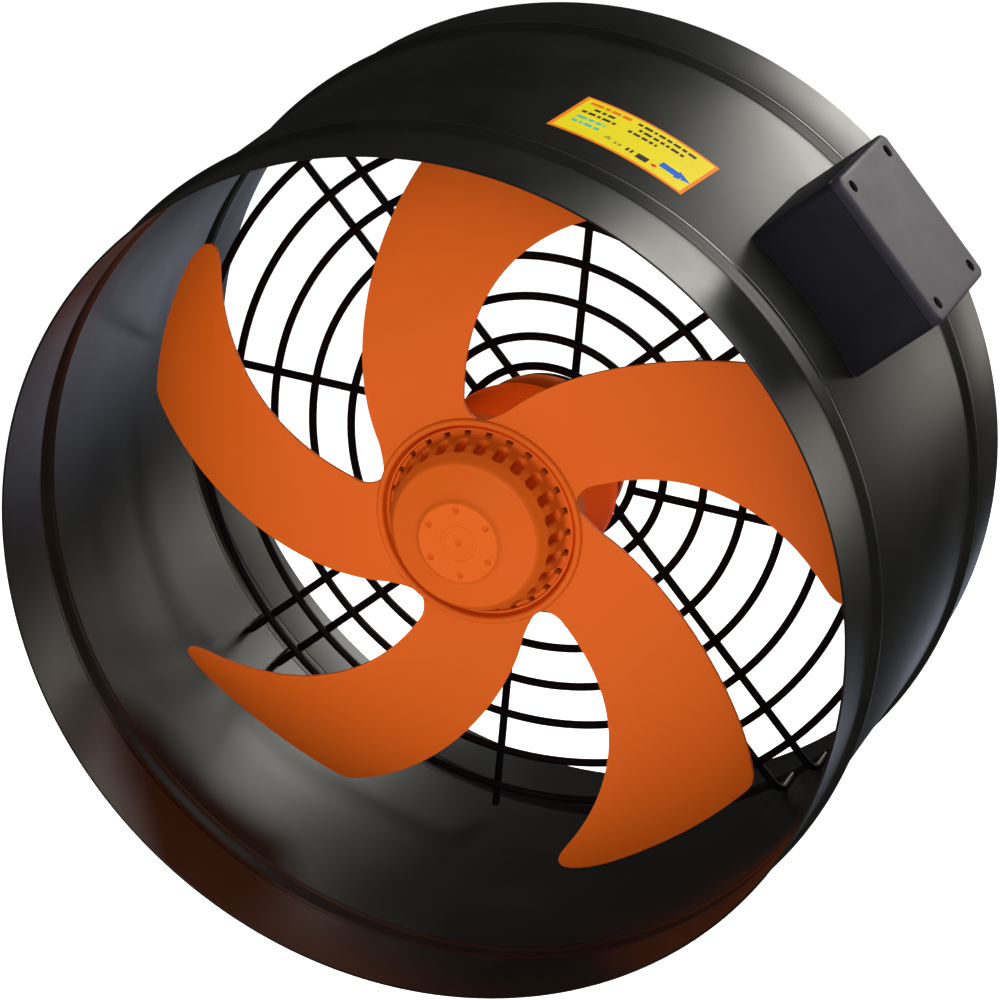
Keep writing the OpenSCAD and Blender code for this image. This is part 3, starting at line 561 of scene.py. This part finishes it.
profile = polyline(
    (0, NOSE_Y, 0.45), (11, NOSE_Y, 1.4), (15.2, NOSE_Y, 0.42), (20.8, NOSE_Y, 0.4),
    (21.2, NOSE_Y + 0.1, 0.3), (21.7, NOSE_Y + 0.45, 0.3), (22.4, NOSE_Y + 1.2, 0.3),
    (23.0, NOSE_Y + 1.75, 0.3), (23.7, NOSE_Y + 2.3, 2.2), (37.9, 73.4, 0.5),
    (38.9, 73.85, 0.4), (40, 75, 0.45), (43.2, 80, 0.45), (45.4, 85, 0.45), (46.3, 90, 0.45),
    (46.8, 93.2, 0.36), (47.5, 95, 0.36), (48.4, 95.9, 0.36), (49.4, CHANNEL_Y, 0.36),
    (49.7, RIM_Y + 0.3, 0.2), (49.9, RIM_Y, 0.35),
    (50.7, RIM_Y, 0.2), (CAN_R, RIM_Y + 0.3, 12), (CAN_R, CAN_BACK - 0.5, 0.6),
    (CAN_R - 0.5, CAN_BACK, 3), (47.5, CAN_BACK, 20), (47.5, 105, 4), (42.6, 102, 6),
    (39.5, 92, 6), (36, 80, 8), (16, 73, 4), (13, 76, 8), (12, 95, 3), (8.6, 96, 3),
    (8.6, 99.5, 3), (6, 99.5, 12), (6, 70, 6), (0, 70, 6))
bm = bmesh.new()
spun(bm, profile, VENTS * STEPS_PER_VENT, closed=False)
sink_rotor_details(bm)
can = piece("rotor_can_cast", bm, fan_coat, "rotor", "fan_paint", "rotor_can",
            smooth=math.radians(50))
# Painted shade in the scallops and vent holes: a darker, redder orange in the scallops and a
# near-brown in the holes stand for the shade in these hollows. Painted light on the can's side: a
# brighter orange stands for light falling on it.
for coat in (powder_coat("scallop_painted_shade_coat", "#bb3a06", 0.6, 2.2, 0.3, dust="#8a4a2c",
                         dust_share=0.1, specular=0.01),
             powder_coat("vent_painted_shade_coat", "#82260a", 0.7, 2.2, 0.3, dust="#4a3428",
                         dust_share=0.2, specular=0.01),
             powder_coat("side_painted_light_coat", "#ee520a", 0.6, 2.2, 0.2, dust="#d9763c",
                         dust_share=0.03, specular=0.005)):
    can.data.materials.append(coat)
carry(lamination, "rotor_laminations")
carry(cast_metal, "rotor_end_rings")

# ---- Impeller spider -------------------------------------------------------------------------
# A pressed steel ring, pushed over the rotor can, with a rolled collar round its bore. The five
# blades are pressed from the same sheet and grow out of its web.
WEB_R = 56.2
WEB_Y = 94
WEB_T = 2.2
COLLAR_R = 54.4
COLLAR_ROLL = 1.9
SLEEVE_R = 53
SLEEVE_BACK = 110
BORE_R = CAN_R + 0.02
bm = bmesh.new()
corners = [(BORE_R, SLEEVE_BACK), (SLEEVE_R, SLEEVE_BACK), (SLEEVE_R, WEB_Y + WEB_T),
           (WEB_R, WEB_Y + WEB_T), (WEB_R, WEB_Y)]
collar = [(COLLAR_R + COLLAR_ROLL * math.cos(math.radians(a)),
           WEB_Y - COLLAR_ROLL * math.sin(math.radians(a))) for a in range(15, 181, 15)]
bore = [(COLLAR_R - COLLAR_ROLL, WEB_Y + 1.4), (COLLAR_R - COLLAR_ROLL - 0.4, WEB_Y + 2.6),
        (BORE_R, WEB_Y + 4.4)]
spun(bm, corners + collar + bore, 240)
piece("impeller_spider_pressed", bm, fan_coat, "rotor", "fan_paint", "impeller_ring")

# ---- Blades ----------------------------------------------------------------------------------
# Five sickle blades pressed from 2 mm steel sheet and powder coated orange. Each sweeps forward
# and dishes towards its tip, and its edges flare into the round notches at the spider.
BLADES = 5
BLADE_T = 2
BLADE_TIP_R = 204.5
ROOT_R = 60
SPAN = 145
NOTCH_R = 67
BLADE_FOOT_R = WEB_R - 0.3
TIP_RAKE = 6
LEAD_ROUND, LEAD_ROUND_SHARE = 20, 0.35
TRAIL_ROUND, TRAIL_ROUND_SHARE = 4, 0.04
DISH = 5
LEAD_ANGLES = (97.5, 91.5, 79, 60.5)
LEAD_DEPTHS = (94, 98, 99, 96.5)
TRAIL_ANGLES = (150.5, 127, 111, 97)
TRAIL_DEPTHS = (95.5, 99, 111, 132)


def through_four(values, share):
    """Cubic through values at the root, one third, two thirds and the tip."""
    a = 3 * share
    return (-values[0] * (a - 1) * (a - 2) * (a - 3) / 6 + values[1] * a * (a - 2) * (a - 3) / 2
            - values[2] * a * (a - 1) * (a - 3) / 2 + values[3] * a * (a - 1) * (a - 2) / 6)


def blade_point(s, t):
    """A point on the blade's front face: s from root to tip, t from leading to trailing edge."""
    tip = BLADE_TIP_R - TIP_RAKE * t
    if t < LEAD_ROUND_SHARE:
        tip -= LEAD_ROUND * (1 - math.sqrt(1 - (1 - t / LEAD_ROUND_SHARE) ** 2))
    past = t - (1 - TRAIL_ROUND_SHARE)
    if past > 0:
        tip -= TRAIL_ROUND * (1 - math.sqrt(1 - min(past / TRAIL_ROUND_SHARE, 1) ** 2))
    r = BLADE_FOOT_R + s * (tip - BLADE_FOOT_R)
    share = (r - ROOT_R) / SPAN
    lead, trail = through_four(LEAD_ANGLES, share), through_four(TRAIL_ANGLES, share)
    pitch = 360 / BLADES
    flare = 1.0
    settle = 1.0
    if r < NOTCH_R:
        flare = math.sqrt(max(1 - ((NOTCH_R - r) / (NOTCH_R - BLADE_FOOT_R)) ** 2, 0))
        settle = (r - WEB_R) / (NOTCH_R - WEB_R)
    gap_middle = (lead + trail - pitch) / 2
    half_gap = (lead - trail + pitch) / 2 * flare
    angle = math.radians(gap_middle + half_gap + t * (pitch - 2 * half_gap))
    front = through_four(LEAD_DEPTHS, share)
    back = through_four(TRAIL_DEPTHS, share)
    depth = front + (back - front) * t + DISH * math.sin(math.pi * t) * share
    depth = depth * settle + (WEB_Y + WEB_T / 2) * (1 - settle)
    return r * math.cos(angle), depth - BLADE_T / 2, r * math.sin(angle)


def eased(u, pull=0.8):
    """Spreads 0 to 1 with finer steps near both ends."""
    return u - pull * math.sin(2 * math.pi * u) / (2 * math.pi)


for i in range(BLADES):
    bm = bmesh.new()
    bmesh.ops.create_grid(bm, x_segments=56, y_segments=44, size=0.5)
    for v in bm.verts:
        v.co = blade_point(eased(v.co.x + 0.5), eased(v.co.y + 0.5))
    made = bmesh.ops.extrude_face_region(bm, geom=bm.faces[:])["geom"]
    bmesh.ops.translate(bm, vec=(0, BLADE_T, 0),
                        verts=[g for g in made if isinstance(g, bmesh.types.BMVert)])
    bmesh.ops.recalc_face_normals(bm, faces=bm.faces)
    rim = [e for e in bm.edges if e.is_manifold and e.calc_face_angle() > math.radians(60)]
    bmesh.ops.bevel(bm, geom=rim, offset=0.4, segments=2, affect="EDGES", profile=0.5,
                    material=-1, clamp_overlap=True)
    turned_to(bm, 360 * i / BLADES)
    piece(f"blade_{i + 1}_pressed", bm, fan_coat, "rotor", "fan_paint", f"blade_{i + 1}",
          smooth=math.radians(40))

# ---- Terminal box ----------------------------------------------------------------------------
# An injection moulded ABS box on the duct, cut to the duct's curve and seated on a foam pad.
# Its body is a dark blue-black, open inside for the terminals and the run capacitor.
BOX_ANGLE = 39.3
BOX_MIDDLE_Y = 128.5
BOX_W = 87
BOX_L = 79
BOX_TOP = 277
LID_T = 5
GASKET_T = 1
BODY_TOP = BOX_TOP - LID_T - GASKET_T
BOX_CORNER = 5
BOX_WALL = 2.5
BOX_FLOOR = DUCT_R + 6
PAD_R = DUCT_R + 1.5
box_plastic = moulded_plastic("box_abs_plastic", "#0e0d14", 0.45, 0.9, 0.25, specular=0.4)
# The lid is the body's dark plastic in a lighter tone: painted light standing for the light that
# falls on its top face.
lid_plastic = moulded_plastic("lid_abs_painted_light", "#211e28", 0.52, 0.9, 0.25, specular=0.36)


def box_prism(bm, x0, x1, inset=0.0, corner=BOX_CORNER):
    """A block across the terminal box from height x0 to x1, with rounded upright edges."""
    verts = bmesh.ops.create_cube(bm, size=1)["verts"]
    bmesh.ops.scale(bm, verts=verts, vec=(x1 - x0, BOX_L - 2 * inset, BOX_W - 2 * inset))
    bmesh.ops.translate(bm, verts=verts, vec=((x0 + x1) / 2, 0, 0))
    upright = [e for e in {e for v in verts for e in v.link_edges}
               if abs(e.verts[0].co.x - e.verts[1].co.x) > 0.5]
    bmesh.ops.bevel(bm, geom=upright, offset=corner, segments=8, affect="EDGES", profile=0.5,
                    material=-1)


def cut_across(bm, place, normal):
    """Cuts every face that a plane meets, and keeps both sides."""
    bmesh.ops.bisect_plane(bm, geom=bm.verts[:] + bm.edges[:] + bm.faces[:], plane_co=place,
                           plane_no=normal)


def seat_box(bm):
    """Moves a piece drawn in the box's own frame to its place on the duct."""
    bmesh.ops.translate(bm, verts=bm.verts, vec=(0, BOX_MIDDLE_Y, 0))
    turned_to(bm, BOX_ANGLE)


bm = bmesh.new()
box_prism(bm, DUCT_R - 12, BODY_TOP)
for cut in range(-40, 41, 4):
    cut_across(bm, (0, 0, cut), (0, 0, 1))
for v in bm.verts:
    if v.co.x < DUCT_R:
        v.co.x = math.sqrt(PAD_R ** 2 - v.co.z ** 2)
top = [f for f in bm.faces if f.normal.x > 0.9]
bmesh.ops.dissolve_faces(bm, faces=top)
top = [f for f in bm.faces if f.calc_center_median().x > BODY_TOP - 0.01]
bmesh.ops.inset_region(bm, faces=top, thickness=BOX_WALL, use_even_offset=True)
cavity = bmesh.ops.extrude_face_region(bm, geom=top)["geom"]
bmesh.ops.delete(bm, geom=top, context="FACES")
for g in cavity:
    if isinstance(g, bmesh.types.BMVert):
        g.co.x = BOX_FLOOR
rim = [e for e in bm.edges if e.is_manifold and e.calc_face_angle() > math.radians(60)
       and min(v.co.x for v in e.verts) > BODY_TOP - 0.01]
bmesh.ops.bevel(bm, geom=rim, offset=0.5, segments=2, affect="EDGES", profile=0.5, material=-1)
seat_box(bm)
piece("terminal_box_moulded", bm, box_plastic, "housing", "box_plastic", "terminal_box")

# ---- Box lid and its screws ------------------------------------------------------------------
# A flat ABS lid with softly rounded top edges, clamped on its gasket by four blackened cross
# recess screws that sit deep in round wells.
LID_SCREW_ACROSS = BOX_W / 2 - 8.5
LID_SCREW_ALONG = BOX_L / 2 - 10.5
WELL_R = 3.4
WELL_DEPTH = 3.2
WELL_PATCH = 5
bm = bmesh.new()
box_prism(bm, BODY_TOP + GASKET_T, BOX_TOP)
for y in (-LID_SCREW_ALONG, LID_SCREW_ALONG):
    for off in (-WELL_PATCH, WELL_PATCH):
        cut_across(bm, (0, y + off, 0), (0, 1, 0))
for z in (-LID_SCREW_ACROSS, LID_SCREW_ACROSS):
    for off in (-WELL_PATCH, WELL_PATCH):
        cut_across(bm, (0, 0, z + off), (0, 0, 1))
edges = [e for e in bm.edges if e.calc_face_angle() > math.radians(60)
         and min(v.co.x for v in e.verts) > BOX_TOP - 0.01]
bmesh.ops.bevel(bm, geom=edges, offset=2.4, segments=6, affect="EDGES", profile=0.5, material=-1)
lid_screw_places = [(y, z) for y in (-LID_SCREW_ALONG, LID_SCREW_ALONG)
                    for z in (-LID_SCREW_ACROSS, LID_SCREW_ACROSS)]
for y, z in lid_screw_places:
    centre = Vector((BOX_TOP, y, z))
    face = [f for f in bm.faces if f.normal.x > 0.9
            and (f.calc_center_median() - centre).length < 1]
    bmesh.ops.subdivide_edges(bm, edges=face[0].edges[:], cuts=5, use_grid_fill=True)
    inner = [f for f in bm.faces if f.normal.x > 0.9
             and (f.calc_center_median() - centre).length < 4.2]
    edge_verts = {v for f in inner for v in f.verts
                  if any(other not in inner for other in v.link_faces)}
    for v in edge_verts:
        v.co = centre + (v.co - centre).normalized() * WELL_R
    well = bmesh.ops.extrude_face_region(bm, geom=inner)["geom"]
    bmesh.ops.delete(bm, geom=inner, context="FACES")
    bmesh.ops.translate(bm, vec=(-WELL_DEPTH, 0, 0),
                        verts=[g for g in well if isinstance(g, bmesh.types.BMVert)])
seat_box(bm)
piece("terminal_box_lid_moulded", bm, lid_plastic, "housing", "lid_plastic",
      "terminal_box_lid")

black_oxide = bare_metal("blackened_screw_steel", "#26262a", 0.4, 0.7, scratch=0.2)
carry(black_oxide, "lid_screws")
carry(zinc_plate, "box_screws", "box_nuts")

# ---- Seals, terminals and capacitor ----------------------------------------------------------
# Inside the box: a four way polyamide terminal strip with brass screws, the motor's run
# capacitor in a spring clip, and the earth screw. Foam and rubber seals keep dust out.
rubber = moulded_plastic("epdm_seal_rubber", "#141414", 0.72, 0.7, 0.5, mottle=0.2)
polyamide = moulded_plastic("terminal_polyamide", "#dedacb", 0.4, 0.8, 0.15)
brass = bare_metal("machined_brass", "#c9a54a", 0.25, 0.5, (1, 1, 5), 0.12)
capacitor_shell = moulded_plastic("capacitor_polypropylene", "#d8d6cc", 0.32, 1.2, 0.1)
carry(rubber, "terminal_box_pad", "lid_gasket", "lead_bushing", "lead_grommet", "gland_seal")
carry(polyamide, "terminal_strip")
carry(brass, "terminal_screws", "earth_screw")
carry(capacitor_shell, "run_capacitor")
carry(spring_steel, "capacitor_clip")

# ---- Cable gland and motor lead --------------------------------------------------------------
# A black nylon gland on the box's rear wall takes the mains cable. The motor's own PVC lead
# runs behind the upper right arm, held by nylon ties, and enters the box through a grommet.
gland_nylon = moulded_plastic("gland_nylon", "#18181a", 0.4, 0.7, 0.2)
tie_nylon = moulded_plastic("tie_nylon", "#1b1b1c", 0.38, 0.6, 0.15)
lead_pvc = moulded_plastic("lead_pvc_sheath", "#161617", 0.5, 1.1, 0.3)
LEAD_R = 2.4
LEAD_BEND = 10
LEAD_EXIT_X = 22
LEAD_EXIT_Z = -18
LEAD_RUN_Y = ARM_PLANE + WIRE_R + LEAD_R + 0.4
LEAD_TURN_Y = 212
LEAD_WALL_R = 210
LEAD_WALL_Z = -6.5
GROMMET_Y = 150
ARC_PULL = LEAD_BEND * 0.5523
carry(gland_nylon, "cable_gland", "gland_nut")
carry(tie_nylon, "lead_ties")
# Each knot of the lead: its place, the way it heads, and its reach backwards and forwards.
lead_knots = [
    ((LEAD_EXIT_X, 188, LEAD_EXIT_Z), (0, 1, 0), 3, 3),
    ((LEAD_EXIT_X, LEAD_TURN_Y - LEAD_BEND, LEAD_EXIT_Z), (0, 1, 0), 3, ARC_PULL),
    ((LEAD_EXIT_X + LEAD_BEND, LEAD_TURN_Y, LEAD_EXIT_Z), (1, 0, 0), ARC_PULL, 17),
    ((74, LEAD_RUN_Y, -ARM_OFFSET), (1, 0, 0), 17, 20),
    ((172, LEAD_RUN_Y, -ARM_OFFSET), (1, 0, 0), 20, 9),
    ((198, LEAD_RUN_Y, LEAD_WALL_Z), (1, 0, 0), 9, 0.5),
    ((LEAD_WALL_R - LEAD_BEND, LEAD_RUN_Y, LEAD_WALL_Z), (1, 0, 0), 0.5, ARC_PULL),
    ((LEAD_WALL_R, LEAD_RUN_Y - LEAD_BEND, LEAD_WALL_Z), (0, -1, 0), ARC_PULL, 9),
    ((LEAD_WALL_R, GROMMET_Y + LEAD_BEND, LEAD_WALL_Z), (0, -1, 0), 9, ARC_PULL),
    ((LEAD_WALL_R + LEAD_BEND, GROMMET_Y, LEAD_WALL_Z), (1, 0, 0), ARC_PULL, 6),
    ((LEAD_WALL_R + LEAD_BEND + 23, GROMMET_Y, LEAD_WALL_Z), (1, 0, 0), 6, 3)]
route = bpy.data.curves.new("lead_route", "CURVE")
route.dimensions = "3D"
route.resolution_u = 14
route.bevel_depth = LEAD_R
route.bevel_resolution = 5
route.use_fill_caps = True
strand = route.splines.new("BEZIER")
strand.bezier_points.add(len(lead_knots) - 1)
for knot, (place, heading, back, ahead) in zip(strand.bezier_points, lead_knots):
    knot.handle_left_type = knot.handle_right_type = "FREE"
    knot.co = place
    knot.handle_left = Vector(place) - back * Vector(heading)
    knot.handle_right = Vector(place) + ahead * Vector(heading)
guide = bpy.data.objects.new("lead_route", route)
bm = bmesh.new()
bm.from_mesh(guide.to_mesh())
guide.to_mesh_clear()
bpy.data.objects.remove(guide)
bpy.data.curves.remove(route)
bmesh.ops.remove_doubles(bm, verts=bm.verts, dist=0.001)
turned_to(bm, ARM_ANGLE)
piece("motor_lead_sheath", bm, lead_pvc, "housing", "lead_sheath", "motor_lead")

# ---- Rating label ----------------------------------------------------------------------------
# A yellow printed vinyl film with an orange border, stuck along the duct beside the box. The
# print is generic: plain bars where text would be, small signs, and an arrow for the rotation.
LABEL_ANGLE = 69.5
LABEL_W = 77
LABEL_L = 50
LABEL_Y = 105.4
LABEL_TURN = 4.6
FILM_T = 0.3
INK_T = 0.03
BORDER = 2.0
PRINT = FILM_T - INK_T
BAR_GAP = 1.1


def vinyl(name, colour):
    """Printed matt vinyl film: even colour, a slight ink mottle and a fine ripple."""
    return moulded_plastic(name, colour, 0.55, 1.6, 0.06, mottle=0.04, specular=0.06)


def on_duct(bm, lift):
    """Bends a flat print, drawn in label millimetres, round the duct at a lift above it."""
    for v in bm.verts:
        across = LABEL_W / 2 - v.co.x
        along = v.co.y - LABEL_L / 2
        turn = math.radians(LABEL_TURN)
        arc = across * math.cos(turn) - along * math.sin(turn)
        plane = across * math.sin(turn) + along * math.cos(turn)
        angle = math.radians(LABEL_ANGLE) + arc / DUCT_R
        r = DUCT_R + lift + v.co.z
        v.co = (r * math.cos(angle), LABEL_Y + plane, r * math.sin(angle))


def patch(bm, u0, v0, u1, v1):
    """A flat rectangle in label millimetres, cut fine enough to bend."""
    before = set(bm.verts)
    bmesh.ops.create_grid(bm, x_segments=max(1, round(abs(u1 - u0) / 2.5)), y_segments=1,
                          size=0.5)
    verts = [v for v in bm.verts if v not in before]
    bmesh.ops.scale(bm, verts=verts, vec=(u1 - u0, v1 - v0, 1))
    bmesh.ops.translate(bm, verts=verts, vec=((u0 + u1) / 2, (v0 + v1) / 2, 0))


def thicken(bm, thickness):
    """Gives a flat print its thickness."""
    made = bmesh.ops.extrude_face_region(bm, geom=bm.faces[:])["geom"]
    bmesh.ops.translate(bm, vec=(0, 0, thickness),
                        verts=[g for g in made if isinstance(g, bmesh.types.BMVert)])


def printed(name, material, bm, lift=PRINT):
    """Finishes a layer of ink at a height above the duct."""
    thicken(bm, INK_T)
    on_duct(bm, lift)
    piece(name, bm, material, "housing", "label_film")


bm = bmesh.new()
patch(bm, 0, 0, LABEL_W, LABEL_L)
thicken(bm, PRINT - INK_T)
on_duct(bm, 0)
piece("rating_label_film", bm, vinyl("orange_printed_vinyl", "#e47c10"), "housing",
      "label_film", "rating_label")
bm = bmesh.new()
patch(bm, BORDER, BORDER, LABEL_W - BORDER, LABEL_L - BORDER)
printed("label_yellow_ground", vinyl("yellow_printed_vinyl", "#dccb12"), bm,
        lift=PRINT - INK_T)


def bar_row(bm, u0, u1, v, height, widths):
    """A row of plain bars of uneven widths that stands for a line of print."""
    u = u0
    i = 0
    while u < u1 - 0.8:
        width = min(widths[i % len(widths)], u1 - u)
        patch(bm, u, v - height / 2, u + width, v + height / 2)
        u += width + BAR_GAP
        i += 1


def sign(bm, corners, radius, u, v, turn=0):
    """A small sign with equal sides, turned by an angle in degrees."""
    place = Matrix.Translation((u, v, 0)) @ Matrix.Rotation(math.radians(turn), 4, "Z")
    bmesh.ops.create_circle(bm, cap_ends=True, radius=radius, segments=corners, matrix=place)


bm = bmesh.new()
bar_row(bm, 4.6, 27.5, 43.2, 3.4, (7.2, 2.6, 4.8, 6.0))
printed("label_heading_bars", vinyl("orange_red_ink", "#dd6a10"), bm)
bm = bmesh.new()
bar_row(bm, 9.5, 21.0, 36.6, 2.8, (3.4, 2.1, 4.2))
bar_row(bm, 5.6, 24.2, 30.2, 2.8, (2.4, 3.8, 1.8, 4.4))
bar_row(bm, 31.5, 66.8, 43.0, 2.8, (2.6, 4.6, 1.6, 3.6, 2.8, 4.0))
bar_row(bm, 34.8, 61.0, 36.6, 2.8, (1.8, 4.4, 3.0, 2.2))
bar_row(bm, 31.5, 48.0, 30.2, 2.8, (2.0, 3.6, 3.2))
bar_row(bm, 39.6, 43.4, 10.4, 4.2, (1.4, 1.4))
patch(bm, 45.8, 7.0, 52.2, 12.8)
printed("label_black_bars", vinyl("black_ink", "#2b2a26"), bm)
bm = bmesh.new()
bar_row(bm, 6.4, 22.0, 22.4, 3.0, (5.2, 3.0, 3.2))
bar_row(bm, 6.4, 21.4, 15.8, 3.0, (3.0, 1.6, 4.4))
printed("label_cyan_bars", vinyl("cyan_ink", "#3fb6a4"), bm)
bm = bmesh.new()
sign(bm, 3, 2.4, 28.4, 12.0)
bar_row(bm, 32.6, 36.8, 10.4, 3.2, (1.4, 1.4))
printed("label_grey_signs", vinyl("grey_ink", "#8f8a3a"), bm)
bm = bmesh.new()
sign(bm, 4, 2.0, 56.0, 9.4)
printed("label_red_sign", vinyl("red_ink", "#d0261b"), bm)
bm = bmesh.new()
patch(bm, 57.4, 12.4, 68.0, 18.6)
sign(bm, 3, 5.6, 69.6, 15.5, turn=-90)
printed("label_rotation_arrow", vinyl("blue_ink", "#0c5cc0"), bm)
